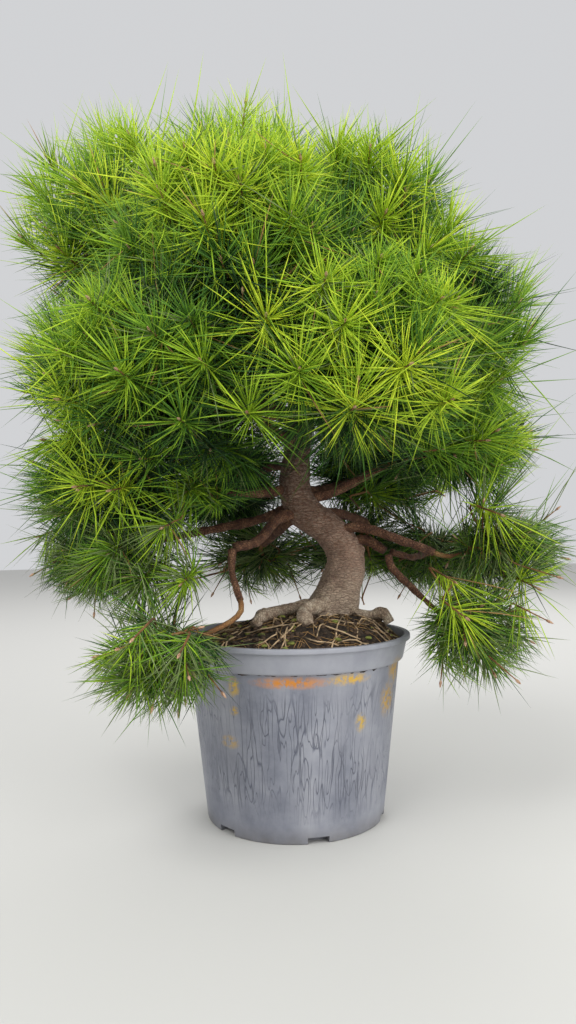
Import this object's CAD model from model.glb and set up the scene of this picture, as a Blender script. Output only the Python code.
"""The looks of a potted Aleppo pine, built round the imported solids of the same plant.

Units are metres, +Z is up, and the front of the plant faces -Y.
The origin is the middle of the flat underside of the pot.
"""
import math
from collections import namedtuple

import bmesh
import bpy
import numpy as np
from mathutils import Euler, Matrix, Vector


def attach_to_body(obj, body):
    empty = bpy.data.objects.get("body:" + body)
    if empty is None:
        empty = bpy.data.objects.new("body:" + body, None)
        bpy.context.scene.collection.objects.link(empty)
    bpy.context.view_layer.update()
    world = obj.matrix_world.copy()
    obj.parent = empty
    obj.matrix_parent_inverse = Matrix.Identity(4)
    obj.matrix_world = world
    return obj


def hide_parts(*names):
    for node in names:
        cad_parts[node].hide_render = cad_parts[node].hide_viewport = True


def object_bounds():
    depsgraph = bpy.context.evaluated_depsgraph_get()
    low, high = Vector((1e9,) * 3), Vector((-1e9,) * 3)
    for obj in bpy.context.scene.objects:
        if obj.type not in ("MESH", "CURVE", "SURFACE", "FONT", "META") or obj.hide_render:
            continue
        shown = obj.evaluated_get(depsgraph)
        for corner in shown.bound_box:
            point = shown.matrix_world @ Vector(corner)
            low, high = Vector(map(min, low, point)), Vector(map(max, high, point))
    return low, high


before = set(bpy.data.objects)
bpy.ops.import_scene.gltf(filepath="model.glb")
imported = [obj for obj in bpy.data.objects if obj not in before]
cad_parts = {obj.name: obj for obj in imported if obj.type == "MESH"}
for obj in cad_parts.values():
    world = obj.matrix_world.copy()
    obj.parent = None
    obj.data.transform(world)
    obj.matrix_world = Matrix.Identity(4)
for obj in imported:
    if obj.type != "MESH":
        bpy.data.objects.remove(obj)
CAD_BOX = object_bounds()

# Furthest that a needle may stand out of the solids' box
STAND_PROUD = 0.014
REACH_LOW = np.array(CAD_BOX[0]) - STAND_PROUD
REACH_HIGH = np.array(CAD_BOX[1]) + STAND_PROUD

# Camera: where it stands, how far it looks up and leans, and its focal length
# in pixels of the picture's long side
CAMERA_PLACE = (-0.0042, -0.7397, 0.2683)
CAMERA_PITCH = math.radians(91.196)
CAMERA_ROLL = math.radians(-0.686)
FOCAL_PIXELS = 770.0
LONG_SIDE_PIXELS = 1024
SENSOR = 36.0

# Light, sky and floor; for each light its name, place, size and power in watts
LIGHTS = (("key", (-1.1, -1.3, 2.2), 1.6, 40), ("fill", (1.6, -1.4, 1.2), 1.8, 30),
          ("back", (0.6, 1.8, 1.8), 1.5, 20))
LIGHTS_AIM = (0, 0, 0.35)
SKY_COLOUR = (0.80, 0.81, 0.83, 1)
SKY_STRENGTH = 0.80
FLOOR_TONE = (206, 205, 201)
FLOOR_RADIUS = 5
FLOOR_SIDES = 96

# Pot
POT_HEIGHT = 0.169
LIP_RADIUS = 0.110
LIP_HEIGHT = 0.0045
COLLAR_TOP_RADIUS = 0.1070
COLLAR_FOOT_RADIUS = 0.1028
COLLAR_FOOT_HEIGHT = 0.146
WALL_TOP_RADIUS = 0.0992
BASE_RADIUS = 0.083
WALL = 0.002
POT_FLOOR = 0.0078
INNER_ROUND = 0.0006
LIP_ROUND = 0.0012
COLLAR_ROUND = 0.0025
BASE_ROUND = 0.0015
POT_SIDES = 180
NOTCHES = 6
NOTCH_BEARING = 43.0
NOTCH_WIDTH = 0.019
NOTCH_HEIGHT = 0.006
NOTCH_DEPTH = 0.009
SHARP_ANGLE = math.radians(28)

# Soil
SOIL_EDGE_HEIGHT = 0.160
MOUND_HEIGHT = 0.1862
MOUND_TOP_RADIUS = 0.044
MOUND_SHIFT = 0.026
SLOPE_WIDTH = 0.05
GAP = 0.0003
SHOULDER_SHARE = 0.62
SOIL_FOOT_HEIGHT = 0.13
SOIL_RINGS = 90
SOIL_SIDES = 200
MOUND_SUNK = 0.0008
HIGHEST_LUMP = 0.001

# Lumps of the soil: size across, height and seed
SOIL_LUMPS = ((0.012, 0.0016, 60), (0.005, 0.0012, 61), (0.0022, 0.0007, 62))

# Litter: how far it stays from the pot, the points and bend of a rod, and the shape of a lump
LITTER_GAP = 0.004
ROD_GAP = 0.002
ROD_POINTS = 6
ROD_SIDES = 4
ROD_TURN = 0.5
LUMP_CORNERS = 14
LUMP_ROUGHNESS = (0.7, 1.2)
LUMP_PROUD = 0.3

# Trunk: where its middle line passes (x, z) and its radius there
TRUNK = (
    (0.0310, 0.1790, 0.0250),
    (0.0370, 0.1940, 0.0222),
    (0.0458, 0.2132, 0.0198),
    (0.0505, 0.2330, 0.0184),
    (0.0475, 0.2490, 0.0176),
    (0.0335, 0.2670, 0.0158),
    (0.0150, 0.2810, 0.0156),
    (0.0040, 0.3000, 0.0158),
    (0.0030, 0.3250, 0.0140),
    (0.0090, 0.3720, 0.0118),
    (0.0020, 0.4400, 0.0092),
    (-0.0080, 0.5000, 0.0066),
    (-0.0300, 0.5500, 0.0040),
)

# Detail of the wood: spacing of its rings, their sides, and the relief of its bark
TRUNK_SPACING = 0.0016
TRUNK_SIDES = 56
ROOT_SPACING = 0.0012
ROOT_SIDES = 20
ROOT_RELIEF = 0.0013
ROOT_SEED = 20
BOUGH_SPACING = 0.0020
BOUGH_SIDES = 14
BOUGH_RELIEF = 0.0008
BOUGH_SEED = 40
WOOD_SPACING = 0.004

# Knuckle of a surface root: how much thicker, where along the root and how wide
KNUCKLE = 0.30
KNUCKLE_PLACE = 0.80
KNUCKLE_WIDTH = 0.12

# Foot of the trunk, swollen towards the roots, and knots: place, width and height
TRUNK_SUNK = 0.004
ROOT_BEARINGS = (-2.75, -1.95, -0.30, 0.9, 2.2)
ROOT_SPREAD = 0.42
FLARE_HEIGHT = 0.010
FLARE_DEPTH = 0.0045
BARK_DEPTH = 0.0011
KNOTS = (((0.062, -0.012, 0.2585), 0.006, 0.0015), ((0.067, -0.004, 0.2480), 0.004, 0.0025))

Limb = namedtuple("Limb", "name line radii")
HIDDEN_BOUGH_RADII = (0.0042, 0.0030)

ROOTS = (
    Limb("root_left", ((0.022, -0.002, 0.1965), (-0.004, -0.012, 0.1915), (-0.028, -0.028, 0.1880),
                       (-0.036, -0.036, 0.1790)), (0.0060, 0.0042)),
    Limb("root_front", ((0.030, -0.018, 0.1975), (0.0120, -0.034, 0.1940), (0.0095, -0.046, 0.1880),
                        (0.0134, -0.055, 0.1810)), (0.0070, 0.0054)),
    Limb("root_right", ((0.044, -0.008, 0.1920), (0.067, -0.015, 0.1860), (0.083, -0.020, 0.1885),
                        (0.089, -0.021, 0.1790)), (0.0052, 0.0038)),
)

BOUGHS = (
    Limb("bough_left", ((0.012, -0.002, 0.2830), (-0.0118, -0.014, 0.2785), (-0.031, -0.045, 0.2579),
                        (-0.0505, -0.066, 0.2523)), (0.0056, 0.0040)),
    Limb("bough_left_drop", ((-0.0530, -0.0690, 0.2495), (-0.0527, -0.080, 0.2313),
                             (-0.0450, -0.098, 0.2090)), (0.0036, 0.0028)),
    Limb("bough_back_left", ((0.010, 0.004, 0.2830), (-0.008, 0.022, 0.2707),
                             (-0.030, 0.070, 0.2520)), (0.0052, 0.0036)),
    Limb("bough_right", ((0.040, -0.004, 0.2630), (0.0625, -0.010, 0.2685), (0.0932, -0.026, 0.2585),
                         (0.1300, -0.030, 0.2440)), (0.0052, 0.0034)),
    Limb("bough_right_low", ((0.047, -0.004, 0.2530), (0.0700, -0.005, 0.2560),
                             (0.0865, -0.013, 0.2455)), (0.0052, 0.0042)),
    Limb("bough_right_drop", ((0.0893, -0.0150, 0.2415), (0.0945, -0.021, 0.2270),
                              (0.1220, -0.036, 0.1990)), (0.0036, 0.0028)),
    Limb("bough_right_side", ((0.0935, -0.0105, 0.2440), (0.1143, 0.004, 0.2390),
                              (0.1330, 0.040, 0.2400)), (0.0034, 0.0028)),
    Limb("bough_right_back", ((0.018, 0.004, 0.2790), (0.0435, 0.020, 0.2824),
                              (0.0760, 0.068, 0.2740)), (0.0056, 0.0040)),
    Limb("bough_right_high", ((0.006, 0.002, 0.2960), (0.0380, 0.006, 0.3020),
                              (0.0920, 0.004, 0.3280)), (0.0056, 0.0038)),
    Limb("bough_back_right", ((0.006, 0.004, 0.3050), (0.0300, 0.030, 0.3060),
                              (0.0620, 0.078, 0.3180)), (0.0050, 0.0036)),
    Limb("bough_left_high", ((0.002, -0.002, 0.3060), (-0.0300, -0.014, 0.3020),
                             (-0.0980, -0.034, 0.3020)), (0.0052, 0.0034)),
    Limb("bough_low_side", ((0.006, 0.002, 0.2920), (-0.0380, 0.020, 0.2760),
                            (-0.1420, 0.018, 0.2560)), (0.0050, 0.0032)),
)

# Masses of foliage: middle, half sizes, number of shoots, what carries each (a bough, the
# trunk's tip or a height on the trunk) and how far its shoots turn up or, below zero, hang
Mass = namedtuple("Mass", "name middle size shoots carrier lift")

MASSES = tuple(Mass("needles_" + name, np.array(middle), np.array(size), *rest)
               for name, middle, size, *rest in (
    ("top", (-0.045, 0.000, 0.592), (0.085, 0.090, 0.085), 9, "trunk", 0.7),
    ("top_left", (-0.158, -0.020, 0.558), (0.100, 0.100, 0.090), 8, 0.470, 0.6),
    ("top_right", (0.072, -0.015, 0.550), (0.098, 0.100, 0.092), 7, 0.480, 0.6),
    ("top_front", (-0.045, -0.128, 0.502), (0.105, 0.090, 0.085), 8, 0.430, 0.5),
    ("top_back", (-0.030, 0.130, 0.535), (0.115, 0.090, 0.090), 8, 0.450, 0.6),
    ("left", (-0.172, 0.000, 0.432), (0.095, 0.100, 0.080), 8, 0.375, 0.4),
    ("front_left", (-0.115, -0.132, 0.402), (0.090, 0.085, 0.085), 8, 0.345, 0.3),
    ("front_right", (0.048, -0.145, 0.398), (0.102, 0.085, 0.090), 9, 0.350, 0.3),
    ("right", (0.140, -0.030, 0.455), (0.095, 0.105, 0.085), 8, 0.395, 0.4),
    ("back_right", (0.105, 0.125, 0.440), (0.100, 0.095, 0.090), 8, 0.385, 0.4),
    ("back_left", (-0.100, 0.135, 0.420), (0.100, 0.090, 0.090), 8, 0.365, 0.4),
    ("skirt_left", (-0.165, -0.050, 0.308), (0.090, 0.095, 0.062), 8, "bough_left_high", 0.1),
    ("skirt_right", (0.162, -0.005, 0.352), (0.080, 0.085, 0.062), 8, "bough_right_high", 0.2),
    ("skirt_back_left", (-0.075, 0.140, 0.312), (0.090, 0.080, 0.060), 7, 0.330, 0.1),
    ("skirt_back_right", (0.098, 0.128, 0.335), (0.090, 0.085, 0.060), 7, "bough_back_right", 0.1),
    ("low_left", (-0.108, -0.132, 0.160), (0.078, 0.064, 0.056), 7, "bough_left_drop", -0.3),
    ("low_side", (-0.195, 0.015, 0.235), (0.070, 0.078, 0.052), 6, "bough_low_side", -0.2),
    ("low_back", (-0.035, 0.128, 0.232), (0.080, 0.068, 0.052), 6, "bough_back_left", -0.1),
    ("low_right", (0.160, -0.060, 0.172), (0.074, 0.070, 0.062), 7, "bough_right_drop", -0.3),
    ("right_side", (0.200, -0.020, 0.248), (0.070, 0.074, 0.052), 6, "bough_right", 0.0),
    ("right_low_back", (0.158, 0.095, 0.235), (0.078, 0.068, 0.054), 6, "bough_right_side", -0.1),
    ("low_right_back", (0.070, 0.135, 0.245), (0.070, 0.062, 0.046), 5, "bough_right_back", -0.1),
))

# Growth of a mass: its stem, its main twigs and the spread of its main shoots
CROWN_MIDDLE = np.array((-0.01, 0.0, 0.38))
CROWN_RADII = np.array((0.25, 0.22, 0.28))
GATE_LEVEL = 0.62
BOUGH_ARCH = 0.006
HEART_PULL = 0.30
STEM_STRAIGHT = 0.004
STEM_POINTS = 9
STEM_RADII = (0.0026, 0.0018)
TWIG_POINTS = 7
TWIG_RADII = (0.0017, 0.0011)
TWIG_SIDES = 6
BRANCH_SHARE = 0.95
TIP_SHARE = 0.6
CORE_POINTS = 4
SHOOT_LENGTH = 0.036
SHOOT_DEPTH = (0.46, 0.66)
SHOOT_OUTWARD = 0.55
SHOOT_TURN = 0.12
TURN_COST = 0.6
NEAREST_BRANCH = 0.004
LIMB_GAP = 0.0010
LIMB_SEARCH = 1.3
SEED = 4170

# Finer shoots between the main ones: how many to a mass, and how deep in it they stand
FINE_SHOOTS = 30
FINE_DEPTH = (0.30, 1.0)
FINE_LENGTH = (0.020, 0.036)
FINE_TURN = 0.34
FINE_LIFT = 0.35
FINE_REACH = (0.8, 1.05)
FINE_TWIG_RADII = (0.0011, 0.0008)

# Rounded spaces between masses that needles may fill too: middle, half sizes
FILLED = (
    ((-0.020, 0.000, 0.440), (0.190, 0.165, 0.165)),
    ((-0.075, -0.060, 0.325), (0.060, 0.080, 0.052)),
    ((-0.130, -0.090, 0.235), (0.070, 0.070, 0.050)),
    ((-0.090, 0.080, 0.280), (0.080, 0.070, 0.060)),
)

# How full a mass is: sparse at the first height, full at the second
SPARSE_HEIGHT = 0.20
FULL_HEIGHT = 0.40
SPARSE_SHARE = 0.42

# Needles: number on a shoot of each kind, length, radius, how they stand and bend,
# their rings (place along and share of the radius), their roughness and specular level
NEEDLES = {"main": 116, "fine": 84, "tuft": 140}
NEEDLE_LENGTH = (0.046, 0.078)
NEEDLE_RADIUS = 0.00050
NEEDLE_TILTS = (math.radians(76), math.radians(16))
NEEDLE_SPREAD = math.radians(11)
NEEDLE_TWIST = 0.2
NEEDLE_CURL = 0.10
CURL_SPREAD = 0.06
NEEDLE_SWAY = 0.035
NEEDLE_SAG = 0.05
NEEDLE_SAMPLES = np.array((0.3, 0.5, 0.7, 0.85, 1.0))
NEEDLE_SIDES = 3
NEEDLE_RINGS = ((0.0, 0.75), (0.5, 1.0))
NEEDLE_FACES = 3 * NEEDLE_SIDES
NEEDLE_SHEEN = (0.6, 0.22)
SHORTEST_SHARE = 0.45

# How far needles pass the rounded outline of their mass, in shares of its size
CROWN_SWELL = (0.98, 1.24)
LOW_SWELL = 0.76
STRAY_SHARE = 0.02
STRAY_SWELL = 1.55
STRAY_LENGTH = 1.5

BUD_LENGTH = 0.0065
BUD_RADIUS = 0.0013

# Tufts that stand out at the front: the middle, the tone, the share of full length
Tuft = namedtuple("Tuft", "middle tone reach")

TUFTS = tuple(Tuft(np.array((x, y, z)), tone, reach) for x, y, z, tone, reach in (
    (-0.154, -0.104, 0.544, "lime", 1.0),
    (-0.135, -0.088, 0.605, "bright", 0.9),
    (-0.061, -0.204, 0.488, "bright", 0.9),
    (-0.018, -0.192, 0.420, "lime", 1.1),
    (0.024, -0.204, 0.444, "bright", 0.85),
    (0.036, -0.216, 0.409, "bright", 0.7),
    (0.081, -0.212, 0.380, "lime", 0.95),
    (0.043, -0.080, 0.598, "bright", 0.8),
    (0.069, -0.092, 0.588, "bright", 0.8),
    (0.098, -0.096, 0.565, "bright", 0.9),
    (0.043, -0.204, 0.352, "lime", 1.25),
    (-0.179, -0.104, 0.348, "bright", 0.9),
    (-0.171, -0.132, 0.303, "bright", 0.85),
    (0.137, -0.076, 0.221, "bright", 0.8),
    (0.139, -0.112, 0.194, "bright", 0.9),
    (0.182, -0.064, 0.278, "bright", 0.9),
    (0.214, -0.060, 0.213, "bright", 0.9),
    (-0.027, -0.188, 0.459, "mid", 0.8),
    (-0.050, -0.192, 0.461, "deep", 0.8),
    (0.016, -0.184, 0.487, "mid", 0.8),
    (-0.122, -0.204, 0.380, "fresh", 0.9),
    (-0.033, -0.180, 0.353, "fresh", 0.85),
    (-0.117, -0.140, 0.324, "mid", 0.8),
    (0.158, -0.108, 0.416, "mid", 0.9),
    (0.198, -0.084, 0.423, "mid", 0.9),
    (-0.159, -0.092, 0.514, "mid", 0.8),
    (-0.176, -0.104, 0.560, "fresh", 0.9),
    (-0.073, -0.192, 0.418, "mid", 0.8),
    (0.092, -0.188, 0.451, "fresh", 0.9),
    (-0.118, -0.176, 0.189, "mid", 0.8),
    (-0.084, -0.180, 0.178, "fresh", 0.9),
    (-0.238, -0.012, 0.264, "fresh", 0.9),
    (0.142, -0.064, 0.530, "bright", 0.9),
    (-0.198, -0.080, 0.511, "bright", 0.9),
    (-0.093, -0.196, 0.510, "bright", 0.8),
    (-0.035, -0.204, 0.513, "bright", 0.8),
    (0.106, -0.196, 0.429, "bright", 0.9),
    (-0.167, -0.188, 0.398, "fresh", 0.9),
    (-0.083, -0.176, 0.349, "mid", 0.8),
    (0.129, -0.068, 0.335, "mid", 0.8),
    (-0.060, -0.090, 0.335, "mid", 0.8),
    (-0.045, -0.060, 0.325, "deep", 0.8),
    (-0.090, -0.090, 0.300, "fresh", 0.8),
    (-0.105, -0.120, 0.270, "fresh", 0.8),
    (-0.070, -0.075, 0.290, "mid", 0.7),
    (-0.150, -0.110, 0.250, "mid", 0.8),
    (-0.125, -0.110, 0.225, "mid", 0.8),
    (-0.170, -0.090, 0.235, "mid", 0.7),
    (-0.090, -0.125, 0.225, "fresh", 0.7),
    (-0.102, -0.180, 0.536, "bright", 0.9),
    (-0.075, -0.192, 0.541, "bright", 0.8),
    (-0.053, -0.204, 0.524, "lime", 0.8),
    (-0.018, -0.192, 0.540, "bright", 0.8),
    (0.008, -0.180, 0.538, "bright", 0.8),
    (0.000, -0.196, 0.491, "fresh", 0.8),
    (0.080, -0.100, 0.530, "bright", 0.8),
    (0.117, -0.100, 0.500, "bright", 0.9),
    (0.122, -0.172, 0.436, "bright", 0.9),
    (0.149, -0.108, 0.496, "fresh", 0.9),
    (0.064, -0.192, 0.460, "fresh", 0.8),
    (-0.120, -0.168, 0.478, "mid", 0.8),
    (-0.143, -0.196, 0.432, "fresh", 0.9),
    (-0.173, -0.168, 0.366, "bright", 0.9),
    (-0.208, -0.092, 0.345, "fresh", 0.9),
    (-0.099, -0.204, 0.408, "mid", 0.8),
    (-0.066, -0.188, 0.390, "fresh", 0.8),
    (0.005, -0.208, 0.378, "fresh", 0.8),
    (0.115, -0.180, 0.360, "bright", 0.9),
    (0.167, -0.076, 0.342, "fresh", 0.9),
    (-0.145, -0.128, 0.300, "bright", 0.9),
    (-0.067, 0.100, 0.354, "fresh", 0.8),
    (0.184, -0.064, 0.397, "fresh", 0.9),
))

# Every second tuft stands at the back again, mirrored and a little closer in
TO_THE_BACK = np.array((-1, -0.95, 1))
BACK_TUFTS = tuple(tuft._replace(middle=tuft.middle * TO_THE_BACK) for tuft in TUFTS[::2])
TUFT_LENGTH = 0.030
TUFT_TILTS = (math.radians(98), math.radians(22))
TUFT_NEEDLE_RADIUS = 0.00060
TUFT_FACING = 0.9
TUFT_RISE = 0.15
TUFT_TURN = 0.08

# Greens, from the sunlit tips to the shaded heart of the crown, as display values
TONES = {
    "lime": (206, 226, 60),
    "bright": (176, 206, 52),
    "fresh": (150, 186, 46),
    "mid": (110, 152, 44),
    "deep": (70, 112, 42),
    "dark": (38, 66, 34),
    "grey": (120, 138, 84),
    "straw": (168, 132, 84),
}
LADDER = ("dark", "deep", "mid", "fresh", "bright", "lime")

# Step of a shoot on the ladder: where it starts, and its gain outwards and upwards
TONE_START = -2.1
TONE_OUTWARD = 4.4
TONE_UPWARD = 3.0
TONE_SPREAD = 0.95

# Shares of a shoot's needles that are older, greyed low in the crown or elsewhere, and dead
OLDER_SHARE = 0.30
GREY_HEIGHT = 0.29
GREY_LOW_SHARE = 0.45
GREY_SHARE = 0.04
STRAW_SHARE = 0.008


# Lines, written as the solids have them

def unit(vector):
    """The vector at length one."""
    return vector / np.linalg.norm(vector)


def smooth_line(points, steps):
    """A Catmull-Rom curve through the points, with so many steps to each span."""
    points = np.asarray(points, dtype=float)
    padded = np.vstack([2 * points[0] - points[1], points, 2 * points[-1] - points[-2]])
    line = []
    for span in range(len(points) - 1):
        a, b, c, d = padded[span:span + 4]
        for step in range(steps):
            t = step / steps
            line.append(0.5 * (2 * b + (c - a) * t + (2 * a - 5 * b + 4 * c - d) * t ** 2
                               + (3 * b - a - 3 * c + d) * t ** 3))
    line.append(points[-1])
    return np.array(line)


def limb_line(limb, steps):
    """A limb's middle line with its radius as a fourth column, tapering with length."""
    line = smooth_line(limb.line, steps)
    lengths = np.r_[0, np.cumsum(np.linalg.norm(np.diff(line, axis=0), axis=1))]
    radii = np.interp(lengths / lengths[-1], (0, 1), limb.radii)
    return np.column_stack([line, radii])


def bent_line(start, start_heading, end, end_heading, count):
    """A Hermite curve that leaves along one heading and arrives along the other."""
    span = np.linalg.norm(end - start)
    t = np.linspace(0, 1, count)[:, None]
    return ((2 * t ** 3 - 3 * t ** 2 + 1) * start + (t ** 3 - 2 * t ** 2 + t) * start_heading * span
            + (3 * t ** 2 - 2 * t ** 3) * end + (t ** 3 - t ** 2) * end_heading * span)


def trunk_line(steps):
    """The trunk's middle line with its radius as a fourth column."""
    return smooth_line([(x, 0, z, radius) for x, z, radius in TRUNK], steps)


def trunk_at(height):
    """The point of the trunk's middle line at a height in its upper part."""
    line = trunk_line(4)
    return np.array([np.interp(height, line[:, 2], line[:, 0]), 0, height])


def dense(line, spacing):
    """Rows of a limb's line, no further apart than the spacing."""
    rows = [line[:1]]
    for first, second in zip(line, line[1:]):
        count = max(1, math.ceil(np.linalg.norm(second[:3] - first[:3]) / spacing))
        rows.append(first + (second - first) * np.linspace(0, 1, count + 1)[1:, None])
    return np.vstack(rows)


def spiral(count):
    """Directions spread evenly over a ball by the golden angle."""
    index = np.arange(count) + 0.5
    height = 1 - 2 * index / count
    angle = index * math.pi * (3 - math.sqrt(5))
    flat = np.sqrt(1 - height ** 2)
    return np.column_stack([flat * np.cos(angle), flat * np.sin(angle), height])


def hidden_bough(mass):
    """The bough inside the crown that carries a mass from the trunk."""
    start = trunk_at(mass.carrier)
    span = start - mass.middle
    gate = mass.middle + span * GATE_LEVEL / np.linalg.norm(span / mass.size)
    half_way = (start + gate) / 2 + np.array([0, 0, BOUGH_ARCH])
    return Limb(mass.name.replace("needles", "inner_bough"), (start, half_way, gate), HIDDEN_BOUGH_RADII)


def carriers():
    """Every bough with its line, and for each mass the end of what carries it and its heading there."""
    limbs = {limb.name: limb for limb in BOUGHS}
    ends = {}
    for mass in MASSES:
        if mass.carrier == "trunk":
            line = trunk_line(4)
        elif isinstance(mass.carrier, str):
            line = limb_line(limbs[mass.carrier], 3)
        else:
            limb = hidden_bough(mass)
            limbs[limb.name] = limb
            line = limb_line(limb, 2)
        heading = unit(line[-1, :3] - line[-2, :3])
        ends[mass.name] = (line[-1, :3], heading)
    return limbs, ends


# Reach of the crown

def in_crown(points, swell):
    """Which points lie in the rounded outline of any mass, each at its own share of the mass's size."""
    result = np.zeros(len(points), dtype=bool)
    for mass in MASSES:
        away = (((points - mass.middle) / mass.size) ** 2).sum(axis=1)
        result |= away <= (swell * np.interp(fullness(mass), (SPARSE_SHARE, 1), (LOW_SWELL, 1))) ** 2
    for middle, size in FILLED:
        result |= (((points - np.array(middle)) / np.array(size)) ** 2).sum(axis=1) <= 1
    return result & (points >= REACH_LOW).all(axis=1) & (points <= REACH_HIGH).all(axis=1)


def fullness(mass):
    """How full of shoots a mass is, from its height."""
    return float(np.interp(mass.middle[2], (SPARSE_HEIGHT, FULL_HEIGHT), (SPARSE_SHARE, 1)))


def clear_of_limbs(points, limbs):
    """Which points stay clear of the limbs, given as rows of (x, y, z, radius)."""
    if not len(limbs):
        return np.ones(len(points), dtype=bool)
    steps = points[:, None, :] - limbs[None, :, :3]
    spare = np.sqrt((steps ** 2).sum(axis=2)) - limbs[None, :, 3]
    return spare.min(axis=1) >= LIMB_GAP


def clear_of_pot(points):
    """Which points stay clear of the pot, the soil and what the pot stands on."""
    over_pot = np.hypot(points[:, 0], points[:, 1]) < LIP_RADIUS + LIMB_GAP
    return points[:, 2] >= np.where(over_pot, MOUND_HEIGHT, 0) + LIMB_GAP


# Growth

Shoot = namedtuple("Shoot", "base heading length kind tone reach")


def stem_of(mass, gate, heading):
    """The stem of a mass, from the end of what carries it to near the middle."""
    inward = gate - mass.middle
    heart = mass.middle + inward * HEART_PULL
    bend = gate + heading * STEM_STRAIGHT
    line = np.vstack([gate, bent_line(bend, heading, heart, unit(-inward), STEM_POINTS)])
    return np.column_stack([line, np.linspace(*STEM_RADII, len(line))])


def turned_spiral(count, rng):
    """The spiral of directions, turned about the vertical by a random angle."""
    turn = rng.uniform(0, 2 * math.pi)
    cosine, sine = math.cos(turn), math.sin(turn)
    rotation = np.array([[cosine, -sine, 0], [sine, cosine, 0], [0, 0, 1]])
    return spiral(count) @ rotation.T


def shoots_between(mass, kind, rng):
    """The main shoots of a mass, placed as in its solid, or the finer ones between them."""
    count, depths, turn, lift = mass.shoots, SHOOT_DEPTH, SHOOT_TURN, 0.0
    if kind == "fine":
        count, depths, turn, lift = round(FINE_SHOOTS * fullness(mass)), FINE_DEPTH, FINE_TURN, FINE_LIFT
    shoots = []
    for direction in turned_spiral(count, rng):
        tip = mass.middle + mass.size * direction * rng.uniform(*depths)
        outward = unit(tip - CROWN_MIDDLE) * SHOOT_OUTWARD
        upward = np.array([0, 0, mass.lift + lift])
        heading = unit(direction + outward + upward + rng.normal(0, turn, 3))
        length, reach = SHOOT_LENGTH, 1.0
        if kind == "fine":
            length, reach = rng.uniform(*FINE_LENGTH), rng.uniform(*FINE_REACH)
        shoots.append(Shoot(tip - heading * length, heading, length, kind, None, reach))
    return shoots


def tuft_shoots(mass, rng):
    """The shoots of the tufts that stand out of a mass at the front and the back."""
    shoots = []
    for tuft in TUFTS + BACK_TUFTS:
        if home_of(tuft) is not mass:
            continue
        facing = np.array([0, math.copysign(TUFT_FACING, tuft.middle[1]), TUFT_RISE])
        heading = unit(unit(tuft.middle - CROWN_MIDDLE) + facing + rng.normal(0, TUFT_TURN, 3))
        base = tuft.middle - heading * TUFT_LENGTH
        shoots.append(Shoot(base, heading, TUFT_LENGTH, "tuft", tuft.tone, tuft.reach))
    return shoots


def home_of(tuft):
    """The mass whose middle is nearest to a tuft, measured in its own half sizes."""
    return min(MASSES, key=lambda mass: np.linalg.norm((tuft.middle - mass.middle) / mass.size))


def attach(base, heading, twigs):
    """The best point to branch from: near, and with little turning back."""
    best = None
    for line in twigs:
        steps = base - line[2:, :3]
        gaps = np.linalg.norm(steps, axis=1)
        steps = steps / np.maximum(gaps, 1e-9)[:, None]
        along = line[2:, :3] - line[1:-1, :3]
        along = along / np.linalg.norm(along, axis=1)[:, None]
        turns = 2 - (along * steps).sum(axis=1) - steps @ heading
        costs = np.where(gaps < NEAREST_BRANCH, np.inf, gaps * (1 + TURN_COST * turns))
        index = int(np.argmin(costs))
        if best is None or costs[index] < best[0]:
            best = (costs[index], line[index + 2, :3], along[index], line[index + 2, 3])
    return best


def grow(mass, stem, rng):
    """The lines of a mass's twigs, stem first, and its shoots, each on a twig of its own."""
    twigs = [stem]
    kept = []
    groups = (shoots_between(mass, "main", rng), tuft_shoots(mass, rng), shoots_between(mass, "fine", rng))
    for group in groups:
        for shoot in sorted(group, key=lambda item: float(np.linalg.norm(item.base - stem[0, :3]))):
            _, point, along, radius = attach(shoot.base, shoot.heading, twigs)
            leaving = unit(along + unit(shoot.base - point))
            line = bent_line(point, leaving, shoot.base, shoot.heading, TWIG_POINTS)
            core = shoot.base + shoot.heading * np.linspace(0, shoot.length, CORE_POINTS)[1:, None]
            route = np.vstack([line, core])
            if not clear_of_pot(route).all():
                continue
            widths = FINE_TWIG_RADII if shoot.kind == "fine" else TWIG_RADII
            radii = np.linspace(min(widths[0], radius * BRANCH_SHARE), widths[1], len(line))
            taper = np.linspace(widths[1], widths[1] * TIP_SHARE, len(core) + 1)[1:]
            twigs.append(np.column_stack([route, np.r_[radii, taper]]))
            kept.append(shoot)
    return twigs, kept


# Needles

def across(heading):
    """Two directions square to a heading and to each other."""
    helper = np.array([0.0, 0.0, 1.0]) if abs(heading[2]) < 0.9 else np.array([1.0, 0.0, 0.0])
    first = unit(np.cross(heading, helper))
    return first, np.cross(heading, first)


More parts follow.
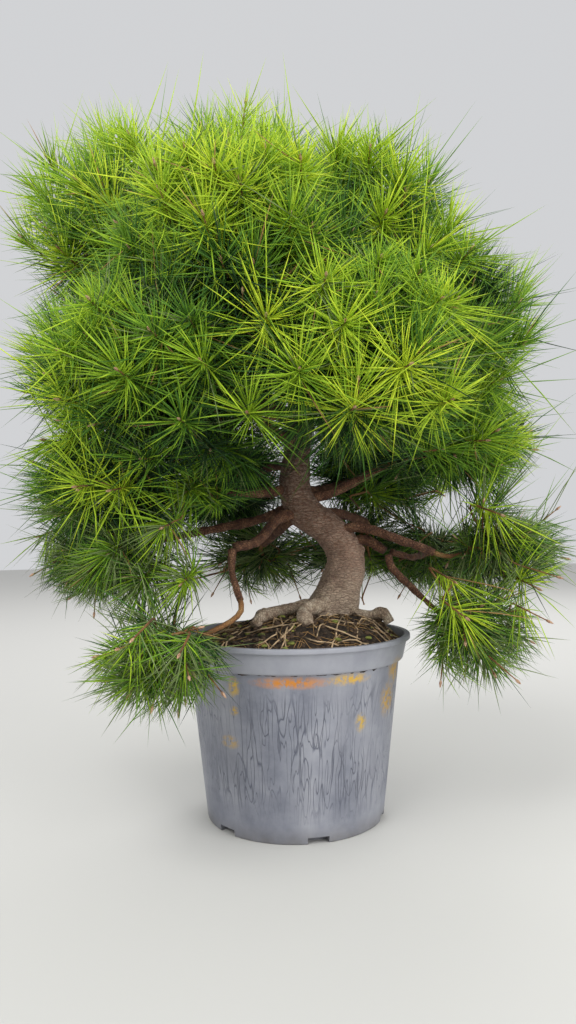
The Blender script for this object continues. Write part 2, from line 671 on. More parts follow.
def needle_paths(shoot, limbs, rng):
    """Feet, directions, lengths, bends and places along the shoot of the needles that keep to the crown."""
    count = NEEDLES[shoot.kind]
    tilts = TUFT_TILTS if shoot.kind == "tuft" else NEEDLE_TILTS
    share = (np.arange(count) + rng.uniform(0, 1, count)) / count
    angle = np.arange(count) * math.pi * (3 - math.sqrt(5)) + rng.normal(0, NEEDLE_TWIST, count)
    first, second = across(shoot.heading)
    radial = np.cos(angle)[:, None] * first + np.sin(angle)[:, None] * second
    tilt = np.interp(share, (0, 1), tilts) + rng.normal(0, NEEDLE_SPREAD, count)
    direction = np.cos(tilt)[:, None] * shoot.heading + np.sin(tilt)[:, None] * radial
    length = rng.uniform(*NEEDLE_LENGTH, count) * shoot.reach
    foot = shoot.base + shoot.heading * (share * shoot.length)[:, None]
    forward = shoot.heading - direction * (direction @ shoot.heading)[:, None]
    bend = forward * (rng.normal(NEEDLE_CURL, CURL_SPREAD, count) * length)[:, None]
    bend += rng.normal(0, NEEDLE_SWAY, (count, 3)) * length[:, None]
    bend[:, 2] -= NEEDLE_SAG * length
    swell = CROWN_SWELL[0] + (CROWN_SWELL[1] - CROWN_SWELL[0]) * rng.uniform(0, 1, count) ** 2
    stray = rng.random(count) < STRAY_SHARE
    swell[stray] = STRAY_SWELL
    length[stray] *= STRAY_LENGTH
    free = np.zeros(count)
    open_way = np.ones(count, dtype=bool)
    for t in NEEDLE_SAMPLES:
        points = foot + direction * (length * t)[:, None] + bend * t ** 2
        open_way &= in_crown(points, swell) & clear_of_limbs(points, limbs) & clear_of_pot(points)
        free[open_way] = t
    kept = free >= SHORTEST_SHARE
    cut = free[kept]
    return foot[kept], direction[kept], length[kept] * cut, bend[kept] * (cut ** 2)[:, None], share[kept]


def needle_mesh(foot, direction, length, bend, radius):
    """Slim three-sided needles, each in two spans to a point, as points and triangles."""
    helper = np.where(np.abs(direction[:, 2:3]) < 0.9, np.array([[0, 0, 1.0]]), np.array([[1.0, 0, 0]]))
    first = np.cross(direction, helper)
    first /= np.linalg.norm(first, axis=1)[:, None]
    second = np.cross(direction, first)
    points = []
    for t, width in NEEDLE_RINGS:
        middle = foot + direction * (length * t)[:, None] + bend * t ** 2
        for corner in range(NEEDLE_SIDES):
            angle = corner * 2 * math.pi / NEEDLE_SIDES
            side = first * math.cos(angle) + second * math.sin(angle)
            points.append(middle + side * (radius * width))
    points.append(foot + direction * length[:, None] + bend)
    tip = len(points) - 1
    pattern = []
    for corner in range(NEEDLE_SIDES):
        after = (corner + 1) % NEEDLE_SIDES
        above, above_after = corner + NEEDLE_SIDES, after + NEEDLE_SIDES
        pattern += [(corner, after, above_after), (corner, above_after, above), (above, above_after, tip)]
    offsets = np.arange(len(foot)) * len(points)
    faces = (np.array(pattern)[None] + offsets[:, None, None]).reshape(-1, 3)
    return np.stack(points, axis=1).reshape(-1, 3), faces


def tone_of(shoot, rng):
    """The step on the ladder of greens for a shoot: lighter further out and higher up."""
    if shoot.tone is not None:
        return LADDER.index(shoot.tone)
    tip = shoot.base + shoot.heading * shoot.length
    out = np.linalg.norm((tip - CROWN_MIDDLE) / CROWN_RADII)
    light = TONE_OUTWARD * out + TONE_START + TONE_UPWARD * (tip[2] - CROWN_MIDDLE[2])
    light += rng.normal(0, TONE_SPREAD)
    return int(np.clip(round(light), 0, len(LADDER) - 1))


def tones_of_needles(shoot, share, rng):
    """The number of each needle's tone: needles near the foot of a shoot are older and darker."""
    names = list(TONES)
    step = tone_of(shoot, rng)
    steps = np.where(share < OLDER_SHARE, step - 1, step) + rng.choice((-1, 0, 0, 0, 1), len(share))
    ladder = np.array([names.index(name) for name in LADDER])
    tones = ladder[np.clip(steps, 0, len(LADDER) - 1)]
    low = shoot.base[2] < GREY_HEIGHT and step < LADDER.index("bright")
    tones[rng.random(len(share)) < (GREY_LOW_SHARE if low else GREY_SHARE)] = names.index("grey")
    tones[rng.random(len(share)) < STRAW_SHARE] = names.index("straw")
    return tones


def needles_of(shoots, limbs, rng):
    """The needles of a mass, as points, triangles and the number of each triangle's tone."""
    meshes, tones = [], []
    for shoot in shoots:
        *paths, share = needle_paths(shoot, limbs, rng)
        if len(share):
            radius = TUFT_NEEDLE_RADIUS if shoot.kind == "tuft" else NEEDLE_RADIUS
            meshes.append(needle_mesh(*paths, radius))
            tones.append(np.repeat(tones_of_needles(shoot, share, rng), NEEDLE_FACES))
    return *joined(meshes), np.concatenate(tones)


# Meshes

def new_mesh_object(name, points, faces, materials, face_materials=None):
    """A smooth-shaded object from arrays of points and of triangles."""
    mesh = bpy.data.meshes.new(name)
    mesh.vertices.add(len(points))
    mesh.vertices.foreach_set("co", points.astype(np.float32).ravel())
    mesh.loops.add(faces.size)
    mesh.loops.foreach_set("vertex_index", faces.astype(np.int32).ravel())
    mesh.polygons.add(len(faces))
    mesh.polygons.foreach_set("loop_start", np.arange(0, faces.size, 3, dtype=np.int32))
    mesh.polygons.foreach_set("loop_total", np.full(len(faces), 3, dtype=np.int32))
    if face_materials is not None:
        mesh.polygons.foreach_set("material_index", face_materials.astype(np.int32))
    mesh.polygons.foreach_set("use_smooth", np.full(len(faces), True))
    mesh.update(calc_edges=True)
    for surface in materials:
        mesh.materials.append(surface)
    thing = bpy.data.objects.new(name, mesh)
    bpy.context.scene.collection.objects.link(thing)
    return thing


def dress(thing, slot, *replaced):
    """Tell the frame what a piece rides on, its material slot and the solids that it stands for."""
    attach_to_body(thing, "root")
    if replaced:
        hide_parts(*replaced)


def frames_along(line):
    """Two directions square to a line at each of its points, turning as little as they can."""
    tangents = np.gradient(line, axis=0)
    tangents /= np.linalg.norm(tangents, axis=1)[:, None]
    first, _ = across(tangents[0])
    firsts = [first]
    for tangent in tangents[1:]:
        first = unit(first - tangent * (first @ tangent))
        firsts.append(first)
    firsts = np.array(firsts)
    return firsts, np.cross(tangents, firsts)


def ring_faces(rings, sides):
    """Triangles that join rings of points, and close them at a last but one and a last point."""
    corner = np.arange(sides)
    after = (corner + 1) % sides
    start, end = rings * sides, rings * sides + 1
    faces = []
    for low in range(0, (rings - 1) * sides, sides):
        high = low + sides
        faces.append(np.column_stack([low + corner, low + after, high + after]))
        faces.append(np.column_stack([low + corner, high + after, high + corner]))
    faces.append(np.column_stack([np.full(sides, start), after, corner]))
    faces.append(np.column_stack([np.full(sides, end), high + corner, high + after]))
    return np.vstack(faces)


def tube(line, sides, relief=None):
    """A round tube along rows of (x, y, z, radius), closed at both ends, as points and triangles."""
    firsts, seconds = frames_along(line[:, :3])
    angles = np.arange(sides) * 2 * math.pi / sides
    ring = firsts[:, None] * np.cos(angles)[None, :, None] + seconds[:, None] * np.sin(angles)[None, :, None]
    points = line[:, None, :3] + ring * line[:, None, 3:4]
    if relief is not None:
        points = points + ring * relief(points)[:, :, None]
    return np.vstack([points.reshape(-1, 3), line[0, :3], line[-1, :3]]), ring_faces(len(line), sides)


def joined(meshes):
    """Several (points, faces) as one."""
    points, faces, offset = [], [], 0
    for some_points, some_faces in meshes:
        points.append(some_points)
        faces.append(some_faces + offset)
        offset += len(some_points)
    return np.vstack(points), np.vstack(faces)


def lattice(cells, seed):
    """A fixed pseudo-random number in 0..1 for each whole-numbered cell."""
    mixed = cells @ np.array([127.1, 311.7, 74.7]) + seed * 19.19
    wave = np.sin(mixed) * 43758.5453
    return wave - np.floor(wave)


def noise(points, size, seed):
    """Smooth noise in -1..1 with features of about the size; the size may differ by axis."""
    shape = points.shape[:-1]
    scaled = (points / np.array(size)).reshape(-1, 3)
    cell = np.floor(scaled)
    part = scaled - cell
    part = part * part * (3 - 2 * part)
    total = np.zeros(len(scaled))
    for corner in np.ndindex(2, 2, 2):
        weight = np.prod(np.where(np.array(corner) == 1, part, 1 - part), axis=1)
        total += weight * lattice(cell + np.array(corner), seed)
    return (2 * total - 1).reshape(shape)


# Materials

# Sockets of the colour mix node, whose inputs share their names with those of its other types
MIX_FIRST = 6
MIX_SECOND = 7
MIX_RESULT = 2


def linear(channel):
    """An 8-bit display value as a linear one."""
    value = channel / 255
    if value <= 0.04045:
        return value / 12.92
    return ((value + 0.055) / 1.055) ** 2.4


def colour_of(display):
    """A display colour as linear RGBA."""
    return (*[linear(channel) for channel in display], 1)


def plain(name, display, roughness, specular):
    """A plain non-metal."""
    result = bpy.data.materials.new(name)
    result.use_nodes = True
    shader = result.node_tree.nodes["Principled BSDF"]
    shader.inputs["Base Color"].default_value = colour_of(display)
    shader.inputs["Roughness"].default_value = roughness
    shader.inputs["Specular IOR Level"].default_value = specular
    return result


class Surface:
    """A procedural material, built step by step on the object's own coordinates."""

    def __init__(self, name):
        self.material = bpy.data.materials.new(name)
        self.material.use_nodes = True
        self.tree = self.material.node_tree
        self.shader = self.tree.nodes["Principled BSDF"]
        self.coords = self.tree.nodes.new("ShaderNodeTexCoord").outputs["Object"]

    def link(self, source, socket):
        """Join an output to an input, or set the input to a value."""
        if isinstance(source, bpy.types.NodeSocket):
            self.tree.links.new(source, socket)
        else:
            socket.default_value = source

    def node(self, kind, output, inputs, **settings):
        """One output of a new node, with its inputs joined or set."""
        made = self.tree.nodes.new("ShaderNode" + kind)
        for name, value in settings.items():
            setattr(made, name, value)
        for name, source in inputs.items():
            self.link(source, made.inputs[name])
        return made.outputs[output]

    def stretched(self, scale, place=(0, 0, 0)):
        """The coordinates, moved and then scaled by axis."""
        shift = tuple(-p * s for p, s in zip(place, scale))
        return self.node("Mapping", "Vector", {"Vector": self.coords, "Location": shift, "Scale": scale})

    def clouds(self, scale, detail=3.0, vector=None, roughness=0.5):
        """Noise in 0..1."""
        return self.node("TexNoise", "Fac", {"Vector": vector or self.coords, "Scale": scale,
                                             "Detail": detail, "Roughness": roughness})

    def cells(self, scale, vector=None):
        """The distance to the nearest edge of Voronoi cells."""
        return self.node("TexVoronoi", "Distance", {"Vector": vector or self.coords, "Scale": scale},
                         feature="DISTANCE_TO_EDGE")

    def ramp(self, value, *stops):
        """A colour or grey for a value, from (position, display colour or grey 0..1) stops."""
        node = self.tree.nodes.new("ShaderNodeValToRGB")
        band = node.color_ramp
        while len(band.elements) < len(stops):
            band.elements.new(0.5)
        for element, (position, shade) in zip(band.elements, stops):
            element.position = position
            element.color = (shade, shade, shade, 1) if isinstance(shade, (int, float)) else colour_of(shade)
        self.tree.links.new(value, node.inputs["Fac"])
        return node.outputs["Color"]

    def maths(self, operation, first, second):
        """Two values joined by a sum, a difference or the like."""
        return self.node("Math", "Value", {0: first, 1: second}, operation=operation)

    def times(self, first, second):
        """The product of two values."""
        return self.maths("MULTIPLY", first, second)

    def mixed(self, share, first, second):
        """A colour mixed by a share with another, which may be a display colour."""
        second = colour_of(second) if isinstance(second, tuple) else second
        return self.node("Mix", MIX_RESULT, {"Factor": share, MIX_FIRST: first, MIX_SECOND: second},
                         data_type="RGBA")

    def height(self):
        """The Z coordinate."""
        return self.node("SeparateXYZ", "Z", {"Vector": self.coords})

    def span(self, value, low, high):
        """A value from 0 at low to 1 at high, held beyond."""
        return self.node("MapRange", "Result", {"Value": value, "From Min": low, "From Max": high})

    def spot(self, place, size):
        """1 at a place, falling to 0 at the edge of a rounded patch of that half size."""
        patch = self.stretched(tuple(1 / s for s in size), place)
        return self.span(self.node("VectorMath", "Value", {0: patch}, operation="LENGTH"), 1.0, 0.3)

    def finish(self, colour, roughness, relief, depth):
        """The material, once its colour, roughness and relief are wired to the shader."""
        bump = self.node("Bump", "Normal", {"Strength": 1.0, "Distance": depth, "Height": relief})
        for name, source in (("Base Color", colour), ("Roughness", roughness), ("Normal", bump)):
            self.link(source, self.shader.inputs[name])
        return self.material


def bark_material():
    """Bark: grey-tan at the foot, pinkish brown above and dark red-brown in the crown, finely cracked."""
    s = Surface("bark")
    level = s.maths("ADD", s.height(), s.times(s.clouds(60), 0.03))
    base = s.ramp(s.span(level, 0.18, 0.36), (0.0, (200, 182, 160)), (0.22, (188, 164, 142)),
                  (0.42, (166, 132, 112)), (0.62, (124, 88, 70)), (1.0, (88, 58, 46)))
    flecks = s.clouds(260, 5, s.stretched((1, 1, 1.7)), 0.65)
    base = s.mixed(s.ramp(flecks, (0.38, 0.0), (0.70, 0.45)), base, (206, 188, 166))
    patches = s.clouds(90, 4)
    base = s.mixed(s.ramp(patches, (0.36, 0.40), (0.56, 0.0)), base, (104, 76, 62))
    cracks = s.cells(210, s.stretched((1, 1, 2.6)))
    base = s.mixed(s.ramp(cracks, (0.0, 0.50), (0.07, 0.0)), base, (80, 60, 50))
    lines = s.ramp(s.clouds(90, 2, s.stretched((1, 1, 9))), (0.47, 0.0), (0.5, 0.6), (0.53, 0.0))
    base = s.mixed(lines, base, (70, 52, 44))
    relief = s.maths("ADD", s.span(cracks, 0.0, 0.16), s.times(flecks, 0.6))
    return s.finish(base, 0.85, relief, 0.0007)


def bough_material():
    """Bark of the boughs: scaly red-brown."""
    s = Surface("young_bark")
    scales = s.cells(420)
    base = s.ramp(s.clouds(120, 5), (0.3, (82, 52, 38)), (0.5, (116, 78, 56)), (0.7, (150, 112, 84)))
    base = s.mixed(s.ramp(scales, (0.0, 0.8), (0.14, 0.0)), base, (54, 36, 30))
    return s.finish(base, 0.85, s.span(scales, 0, 0.2), 0.0006)


def root_material():
    """Bark of the surface roots: pale tan with darker joints."""
    s = Surface("root_bark")
    base = s.ramp(s.clouds(150, 5), (0.3, (134, 112, 92)), (0.5, (178, 158, 136)), (0.7, (206, 190, 168)))
    cracks = s.cells(300, s.stretched((1.4, 1.4, 1)))
    base = s.mixed(s.ramp(cracks, (0.0, 0.7), (0.09, 0.0)), base, (84, 66, 54))
    return s.finish(base, 0.85, s.span(cracks, 0, 0.2), 0.0005)


# Lichen on the pot: place of each patch, its half size and its tone
LICHEN = (
    ((-0.004, -0.100, 0.1395), (0.040, 0.030, 0.0065), (206, 132, 42)),
    ((0.046, -0.088, 0.1400), (0.024, 0.030, 0.0060), (216, 172, 62)),
    ((-0.052, -0.083, 0.1340), (0.006, 0.020, 0.0110), (214, 176, 70)),
    ((0.056, -0.076, 0.1010), (0.006, 0.020, 0.0100), (206, 170, 74)),
    ((0.082, -0.048, 0.1150), (0.012, 0.020, 0.0180), (196, 158, 84)),
    ((-0.056, -0.070, 0.0850), (0.010, 0.020, 0.0070), (196, 160, 84)),
    ((-0.052, -0.078, 0.1130), (0.005, 0.020, 0.0050), (200, 164, 80)),
    ((0.090, -0.040, 0.1400), (0.010, 0.024, 0.0170), (202, 164, 90)),
    ((0.020, 0.098, 0.1385), (0.034, 0.030, 0.0070), (206, 150, 60)),
    ((-0.090, 0.030, 0.1330), (0.014, 0.020, 0.0120), (204, 166, 80)),
)


def pot_material():
    """Weathered blue-grey plastic: mottled, with fine upright cracks and lichen under the collar."""
    s = Surface("pot_plastic")
    mottle = s.clouds(34, 6, roughness=0.6)
    base = s.ramp(mottle, (0.30, (112, 115, 127)), (0.5, (132, 135, 146)), (0.72, (152, 154, 163)))
    worn = s.clouds(22, 4, s.stretched((1, 1, 0.25)))
    base = s.mixed(s.ramp(worn, (0.45, 0.0), (0.68, 0.5)), base, (170, 171, 178))
    collar = s.span(s.height(), COLLAR_FOOT_HEIGHT - 0.001, COLLAR_FOOT_HEIGHT + 0.001)
    base = s.mixed(s.times(collar, 0.35), base, (176, 177, 183))
    cracked = None
    for scale, width, shift in ((130, 0.016, 0.0), (84, 0.010, 0.37), (210, 0.018, 0.81)):
        veins = s.clouds(scale, 0.8, s.stretched((1, 1, 0.05), (shift, shift, shift)))
        line = s.ramp(veins, (0.5 - width, 0.0), (0.5, 1.0), (0.5 + width, 0.0))
        cracked = line if cracked is None else s.maths("MAXIMUM", cracked, line)
    field = s.times(s.span(s.height(), 0.012, 0.045), s.span(s.height(), 0.142, 0.118))
    field = s.times(field, s.ramp(s.clouds(17, 2), (0.36, 0.25), (0.56, 1.0)))
    cracked = s.times(cracked, field)
    base = s.mixed(s.times(cracked, 0.85), base, (72, 76, 92))
    dirt = s.times(s.span(s.height(), 0.016, 0.0), s.clouds(80, 4))
    base = s.mixed(dirt, base, (112, 108, 104))
    crust = s.ramp(s.clouds(190, 5, roughness=0.7), (0.40, 0.0), (0.54, 1.0))
    grown = None
    for place, size, tone in LICHEN:
        patch = s.times(s.spot(place, size), crust)
        base = s.mixed(s.times(patch, 0.95), base, tone)
        grown = patch if grown is None else s.maths("MAXIMUM", grown, patch)
    relief = s.maths("SUBTRACT", s.times(grown, 0.5), cracked)
    relief = s.maths("ADD", relief, s.times(s.clouds(500, 3), 0.12))
    roughness = s.maths("ADD", s.times(grown, 0.35), 0.52)
    return s.finish(base, roughness, relief, 0.0004)


def soil_material():
    """Dark potting mix with brown fibre."""
    s = Surface("soil")
    base = s.ramp(s.clouds(240, 6, roughness=0.7), (0.30, (24, 19, 15)), (0.5, (50, 40, 32)),
                  (0.66, (84, 68, 52)), (0.8, (120, 100, 78)))
    return s.finish(base, 0.95, s.clouds(420, 6, roughness=0.75), 0.0016)


def twig_material():
    """Twigs: orange-brown where young, scaly brown where old."""
    s = Surface("twig_bark")
    base = s.ramp(s.clouds(60, 4), (0.35, (96, 66, 42)), (0.5, (150, 104, 58)), (0.65, (172, 134, 84)))
    scales = s.cells(700)
    base = s.mixed(s.ramp(scales, (0.0, 0.6), (0.2, 0.0)), base, (70, 48, 34))
    return s.finish(base, 0.8, s.span(scales, 0, 0.3), 0.0003)


def bud_material():
    """Buds: pinkish tan scales."""
    s = Surface("bud_scales")
    base = s.ramp(s.clouds(500, 3), (0.35, (150, 104, 78)), (0.6, (206, 170, 140)))
    return s.finish(base, 0.7, s.clouds(900, 2), 0.0002)


def litter_material(name, display):
    """A small thing's finish: its colour varied lighter and darker."""
    s = Surface(name)
    darker = tuple(channel * 0.6 for channel in display)
    lighter = tuple(min(255, channel * 1.2) for channel in display)
    base = s.ramp(s.clouds(130, 3), (0.32, darker), (0.5, display), (0.68, lighter))
    return s.finish(base, 0.9, s.clouds(600, 2), 0.0003)


# Wood

def limb_relief(amount, seed):
    """Relief for a root or a bough: knuckles and scales."""
    def relief(points):
        return (noise(points, 0.010, seed) * 0.9 + noise(points, 0.0035, seed + 1) * 0.6) * amount
    return relief


def trunk_relief(points):
    """Bark relief, with knots, and with the foot swollen towards the surface roots."""
    lumps = noise(points, 0.016, 3) * 0.9 + noise(points, 0.007, 4) * 0.5
    rings = noise(points, (0.010, 0.010, 0.0018), 5) * 0.35
    fade = np.exp(-np.clip(points[:, :, 2] - MOUND_HEIGHT, 0, None) / FLARE_HEIGHT)
    middle = points.mean(axis=1, keepdims=True)
    bearing = np.arctan2(points[:, :, 1] - middle[:, :, 1], points[:, :, 0] - middle[:, :, 0])
    swell = np.zeros_like(fade)
    for root_bearing in ROOT_BEARINGS:
        swell += np.exp(-(np.angle(np.exp(1j * (bearing - root_bearing))) / ROOT_SPREAD) ** 2)
    relief = (lumps + rings) * BARK_DEPTH + swell * fade * FLARE_DEPTH
    for place, width, height in KNOTS:
        relief = relief + np.exp(-(np.linalg.norm(points - np.array(place), axis=2) / width) ** 2) * height
    return relief


def make_wood(limbs):
    """Trunk, surface roots and boughs with bark."""
    line = dense(trunk_line(24), TRUNK_SPACING)
    line = line[line[:, 2] >= MOUND_HEIGHT - TRUNK_SUNK]
    trunk = new_mesh_object("trunk_bark", *tube(line, TRUNK_SIDES, trunk_relief), [bark_material()])
    dress(trunk, "bark", "trunk")

    meshes = []
    for index, root in enumerate(ROOTS):
        line = dense(limb_line(root, 12), ROOT_SPACING)
        away = (np.linspace(0, 1, len(line)) - KNUCKLE_PLACE) / KNUCKLE_WIDTH
        line[:, 3] *= 1 + KNUCKLE * np.exp(-away ** 2)
        meshes.append(tube(line, ROOT_SIDES, limb_relief(ROOT_RELIEF, ROOT_SEED + index)))
    roots = new_mesh_object("surface_roots", *joined(meshes), [root_material()])
    dress(roots, "root_bark", *[root.name for root in ROOTS])

    meshes = []
    for index, limb in enumerate(limbs.values()):
        line = dense(limb_line(limb, 10), BOUGH_SPACING)
        meshes.append(tube(line, BOUGH_SIDES, limb_relief(BOUGH_RELIEF, BOUGH_SEED + index)))
    boughs = new_mesh_object("bough_bark", *joined(meshes), [bough_material()])
    dress(boughs, "young_bark", *limbs)


# Foliage

def bud_mesh(tip, heading):
    """A small pointed bud at the end of a shoot."""
    steps = np.array((0.0, 0.35, 0.75, 1.0))
    widths = np.array((0.7, 1.0, 0.6, 0.1)) * BUD_RADIUS
    line = np.column_stack([tip + heading * (steps * BUD_LENGTH)[:, None], widths])
    return tube(line, TWIG_SIDES)


def make_foliage(ends, limbs):
    """The twigs, buds and needles of every mass."""
    greens = [plain(f"needle_{name}", display, *NEEDLE_SHEEN) for name, display in TONES.items()]
    lines = [trunk_line(4)] + [limb_line(limb, 3) for limb in limbs.values()]
    wood = np.vstack([dense(line, WOOD_SPACING) for line in lines])
    twig_meshes, bud_meshes = [], []
    for number, mass in enumerate(MASSES):
        rng = np.random.default_rng((SEED, number))
        twigs, shoots = grow(mass, stem_of(mass, *ends[mass.name]), rng)
        reach = max(mass.size) + NEEDLE_LENGTH[1] * LIMB_SEARCH
        near = wood[np.linalg.norm(wood[:, :3] - mass.middle, axis=1) < reach]
        points, faces, tones = needles_of(shoots, near, rng)
        name = mass.name.replace("needles", "sprays")
        dress(new_mesh_object(name, points, faces, greens, tones), "foliage", mass.name)
        twig_meshes += [tube(line, TWIG_SIDES) for line in twigs]
        bud_meshes += [bud_mesh(shoot.base + shoot.heading * shoot.length, shoot.heading) for shoot in shoots]
    dress(new_mesh_object("twigs", *joined(twig_meshes), [twig_material()]), "young_bark")
    dress(new_mesh_object("buds", *joined(bud_meshes), [bud_material()]), "young_bark")


# Pot and soil

def inner_radius(height):
    """The inside radius of the pot at a height."""
    heights = (POT_FLOOR, COLLAR_FOOT_HEIGHT, COLLAR_FOOT_HEIGHT + WALL, POT_HEIGHT)
    radii = (BASE_RADIUS - WALL, WALL_TOP_RADIUS - WALL, COLLAR_FOOT_RADIUS - WALL, COLLAR_TOP_RADIUS - WALL)
    return float(np.interp(height, heights, radii))


def corner_arc(corner, before, after, radius, steps=4):
    """The corner of a profile, as an arc between its two sides."""
    corner, before, after = (np.array(point) for point in (corner, before, after))
    start = corner + unit(before - corner) * radius
    end = corner + unit(after - corner) * radius
    t = np.linspace(0, 1, steps + 1)[:, None]
    return [tuple(point) for point in (1 - t) ** 2 * start + 2 * t * (1 - t) * corner + t ** 2 * end]


def pot_outline():
    """Half a section of the pot, from the middle of its floor up, over the lip and down to its underside."""
    lip_foot = POT_HEIGHT - LIP_HEIGHT
    inner_top = (COLLAR_TOP_RADIUS - WALL, POT_HEIGHT)
    lip_top, lip_corner = (LIP_RADIUS, POT_HEIGHT), (LIP_RADIUS, lip_foot)
    collar_top, collar_foot = (COLLAR_TOP_RADIUS, lip_foot), (COLLAR_FOOT_RADIUS, COLLAR_FOOT_HEIGHT)
    wall_top, base = (WALL_TOP_RADIUS, COLLAR_FOOT_HEIGHT), (BASE_RADIUS, 0.0)
    inside = [(0.0, POT_FLOOR), (BASE_RADIUS - WALL, POT_FLOOR), (WALL_TOP_RADIUS - WALL, COLLAR_FOOT_HEIGHT),
              (COLLAR_FOOT_RADIUS - WALL, COLLAR_FOOT_HEIGHT + WALL)]
    return (inside + corner_arc(inner_top, inside[-1], lip_top, INNER_ROUND)
            + corner_arc(lip_top, inner_top, lip_corner, LIP_ROUND)
            + corner_arc(lip_corner, lip_top, collar_top, LIP_ROUND) + [collar_top]
            + corner_arc(collar_foot, collar_top, wall_top, COLLAR_ROUND) + [wall_top]
            + corner_arc(base, wall_top, (0, 0), BASE_ROUND) + [(0.0, 0.0)])


def make_pot():
    """The pot, turned from its outline, with its drain notches."""
    bm = bmesh.new()
    corners = [bm.verts.new((radius, 0, height)) for radius, height in pot_outline()]
    edges = [bm.edges.new(pair) for pair in zip(corners, corners[1:])]
    bmesh.ops.spin(bm, geom=[*corners, *edges], axis=(0, 0, 1), cent=(0, 0, 0), steps=POT_SIDES,
                   angle=2 * math.pi, use_merge=True)
    bmesh.ops.remove_doubles(bm, verts=bm.verts, dist=0.00001)
    bmesh.ops.recalc_face_normals(bm, faces=bm.faces)
    mesh = bpy.data.meshes.new("pot_shell")
    bm.to_mesh(mesh)
    bm.free()
    pot = bpy.data.objects.new("pot_shell", mesh)
    bpy.context.scene.collection.objects.link(pot)
    cutters = []
    for index in range(NOTCHES):
        bearing = math.radians(NOTCH_BEARING + index * 360 / NOTCHES)
        bpy.ops.mesh.primitive_cube_add(size=1)
        notch = bpy.context.active_object
        notch.scale = (NOTCH_DEPTH * 2, NOTCH_WIDTH, NOTCH_HEIGHT * 2)
        notch.rotation_euler = (0, 0, bearing)
        notch.location = (BASE_RADIUS * math.cos(bearing), BASE_RADIUS * math.sin(bearing), 0)
        cut = pot.modifiers.new(f"notch_{index}", "BOOLEAN")
        cut.operation = "DIFFERENCE"
        cut.object = notch
        cutters.append(notch)
    depsgraph = bpy.context.evaluated_depsgraph_get()
    mesh = bpy.data.meshes.new_from_object(pot.evaluated_get(depsgraph))
    pot.modifiers.clear()
    pot.data = mesh
    for notch in cutters:
        bpy.data.objects.remove(notch)
    mesh.materials.clear()
    mesh.materials.append(pot_material())
    mesh.shade_smooth()
    mesh.set_sharp_from_angle(angle=SHARP_ANGLE)
    dress(pot, "pot_plastic", "pot")


def soil_height(x, y):
    """The soil's level at a place: low at the wall, mounded under the trunk, and lumpy."""
    away = np.hypot(x, y)
    edge = inner_radius(SOIL_EDGE_HEIGHT) - GAP
    shift = MOUND_SHIFT * np.clip((edge - away) / SLOPE_WIDTH, 0, 1)
    along = np.hypot(x - shift, y)
    shoulder_radius = (MOUND_TOP_RADIUS + edge) / 2
    shoulder_height = MOUND_HEIGHT * SHOULDER_SHARE + SOIL_EDGE_HEIGHT * (1 - SHOULDER_SHARE)
    level = np.interp(along, (MOUND_TOP_RADIUS, shoulder_radius, edge),
                      (MOUND_HEIGHT - MOUND_SUNK, shoulder_height, SOIL_EDGE_HEIGHT))
    flat = np.stack([x, y, np.zeros_like(x)], axis=-1)
    lumps = sum(noise(flat, size, seed) * height for size, height, seed in SOIL_LUMPS)
    return np.minimum(level + lumps, MOUND_HEIGHT + HIGHEST_LUMP)


def make_soil():
    """The soil's lumpy top, closed below, with dead needles, fine roots, crumbs and moss on it."""
    edge = inner_radius(SOIL_EDGE_HEIGHT) - GAP
    radius = edge * (np.arange(1, SOIL_RINGS + 1) / SOIL_RINGS)
    angle = np.arange(SOIL_SIDES) * 2 * math.pi / SOIL_SIDES
    x = (radius[:, None] * np.cos(angle)).ravel()
    y = (radius[:, None] * np.sin(angle)).ravel()
    top = np.column_stack([x, y, soil_height(x, y)])
    foot_radius = inner_radius(SOIL_FOOT_HEIGHT) - GAP
    foot = np.column_stack([foot_radius * np.cos(angle), foot_radius * np.sin(angle),
                            np.full(SOIL_SIDES, SOIL_FOOT_HEIGHT)])
    ends = [(0, 0, float(soil_height(0.0, 0.0))), (0, 0, SOIL_FOOT_HEIGHT)]
    faces = ring_faces(SOIL_RINGS + 1, SOIL_SIDES)[:, ::-1]
    soil = new_mesh_object("soil_bed", np.vstack([top, foot, ends]), faces, [soil_material()])
    dress(soil, "soil", "soil")
    for name, finish, display, maker, *sizes in LITTER:
        rng = np.random.default_rng((SEED, len(name)))
        dress(new_mesh_object(name, *maker(rng, *sizes), [litter_material(finish, display)]), "soil")


def scattered(rng, count):
    """Random places on the soil, as x and y."""
    edge = inner_radius(SOIL_EDGE_HEIGHT) - LITTER_GAP
    away = np.sqrt(rng.uniform(0, 1, count)) * edge
    angle = rng.uniform(0, 2 * math.pi, count)
    return away * np.cos(angle), away * np.sin(angle)


def lying(rng, count, length, radius, arch):
    """Thin bent rods that lie on the soil, as points and triangles."""
    meshes = []
    for x, y in zip(*scattered(rng, count)):
        angle = rng.uniform(0, 2 * math.pi)
        span = rng.uniform(*length)
        turn = rng.normal(0, ROD_TURN)
        steps = np.linspace(-0.5, 0.5, ROD_POINTS)
        px = x + np.cos(angle + turn * steps) * steps * span
        py = y + np.sin(angle + turn * steps) * steps * span
        limit = inner_radius(SOIL_EDGE_HEIGHT) - ROD_GAP
        shrink = np.minimum(1, limit / np.maximum(np.hypot(px, py), 1e-6))
        px, py = px * shrink, py * shrink
        pz = soil_height(px, py) + radius * 0.8 + arch * (0.25 - steps ** 2) * rng.uniform(0.2, 1) * 4
        widths = radius * (1 - 0.5 * np.abs(steps))
        meshes.append(tube(np.column_stack([px, py, pz, widths]), ROD_SIDES))
    return joined(meshes)


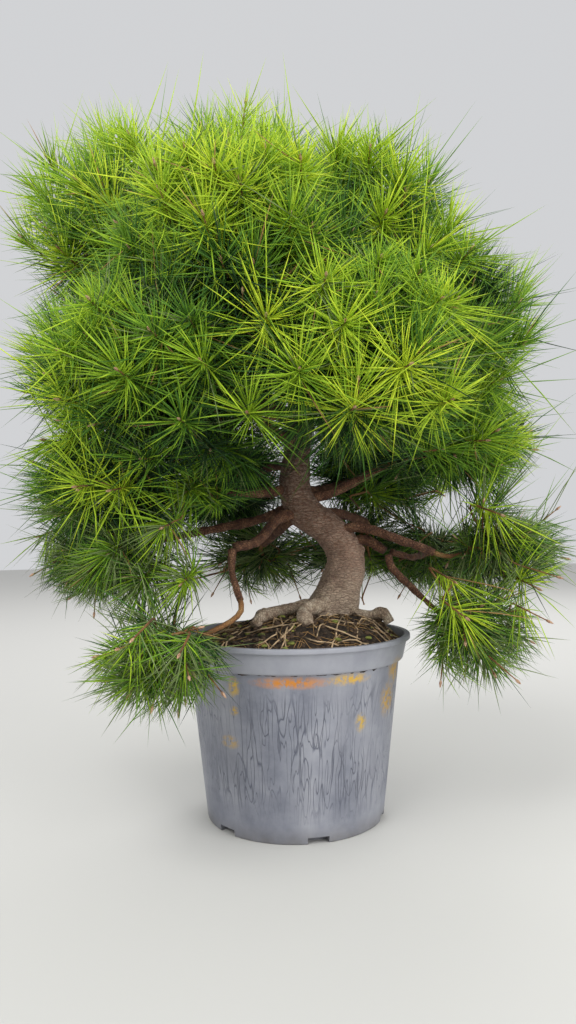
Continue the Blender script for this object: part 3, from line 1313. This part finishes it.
def lumps_at(rng, count, size, flatness):
    """Small rough lumps on the soil, as points and triangles."""
    ball = spiral(LUMP_CORNERS)
    hull = convex_faces(ball)
    meshes = []
    for x, y in zip(*scattered(rng, count)):
        scale = rng.uniform(*size)
        shape = ball * rng.uniform(*LUMP_ROUGHNESS, (len(ball), 1)) * scale * np.array([1, 1, flatness])
        z = float(soil_height(x, y))
        meshes.append((shape + np.array([x, y, z + scale * flatness * LUMP_PROUD]), hull))
    return joined(meshes)


def convex_faces(points):
    """The triangles of the hull of a few points round the origin."""
    bm = bmesh.new()
    verts = [bm.verts.new(point) for point in points]
    bmesh.ops.convex_hull(bm, input=verts)
    bm.verts.index_update()
    faces = np.array([[vert.index for vert in face.verts] for face in bm.faces if len(face.verts) == 3])
    bm.free()
    return faces


# Litter on the soil: name, finish, colour, maker, number and sizes
LITTER = (
    ("dead_needles", "litter", (150, 118, 76), lying, 230, (0.014, 0.055), 0.00036, 0.0015),
    ("fine_roots", "fine_root", (186, 160, 126), lying, 90, (0.020, 0.050), 0.0008, 0.0025),
    ("soil_crumbs", "crumb", (74, 58, 44), lumps_at, 900, (0.0010, 0.0034), 0.7),
    ("moss_tufts", "moss", (128, 134, 62), lumps_at, 110, (0.0016, 0.0042), 0.5),
)


# Setting

def make_floor():
    """A plain pale floor."""
    angle = np.arange(FLOOR_SIDES) * 2 * math.pi / FLOOR_SIDES
    rim = np.column_stack([np.cos(angle) * FLOOR_RADIUS, np.sin(angle) * FLOOR_RADIUS, np.zeros(FLOOR_SIDES)])
    corner = np.arange(FLOOR_SIDES)
    faces = np.column_stack([np.full(FLOOR_SIDES, FLOOR_SIDES), corner, (corner + 1) % FLOOR_SIDES])
    points = np.vstack([rim, [(0, 0, 0)]])
    new_mesh_object("floor", points, faces, [plain("floor", FLOOR_TONE, 0.8, 0.1)])


def make_light(name, place, size, power):
    """A soft square light, aimed at the middle of the plant."""
    data = bpy.data.lights.new(name, "AREA")
    data.shape = "SQUARE"
    data.size = size
    data.energy = power
    light = bpy.data.objects.new(name, data)
    light.location = place
    light.rotation_euler = (Vector(LIGHTS_AIM) - Vector(place)).to_track_quat("-Z", "Y").to_euler()
    bpy.context.scene.collection.objects.link(light)


def make_setting():
    """Floor, lights, world and camera."""
    make_floor()
    for light in LIGHTS:
        make_light(*light)
    bpy.context.scene.view_settings.view_transform = "Standard"
    world = bpy.data.worlds.new("world")
    world.use_nodes = True
    sky = world.node_tree.nodes["Background"]
    sky.inputs["Color"].default_value = SKY_COLOUR
    sky.inputs["Strength"].default_value = SKY_STRENGTH
    bpy.context.scene.world = world
    data = bpy.data.cameras.new("camera")
    data.sensor_width = SENSOR
    data.lens = FOCAL_PIXELS / LONG_SIDE_PIXELS * SENSOR
    camera = bpy.data.objects.new("camera", data)
    pitch = Euler((CAMERA_PITCH, 0, 0)).to_matrix()
    roll = Euler((0, 0, CAMERA_ROLL)).to_matrix()
    camera.rotation_euler = (pitch @ roll).to_euler()
    camera.location = CAMERA_PLACE
    bpy.context.scene.collection.objects.link(camera)
    bpy.context.scene.camera = camera


limb_set, mass_ends = carriers()
make_wood(limb_set)
make_foliage(mass_ends, limb_set)
make_pot()
make_soil()
make_setting()
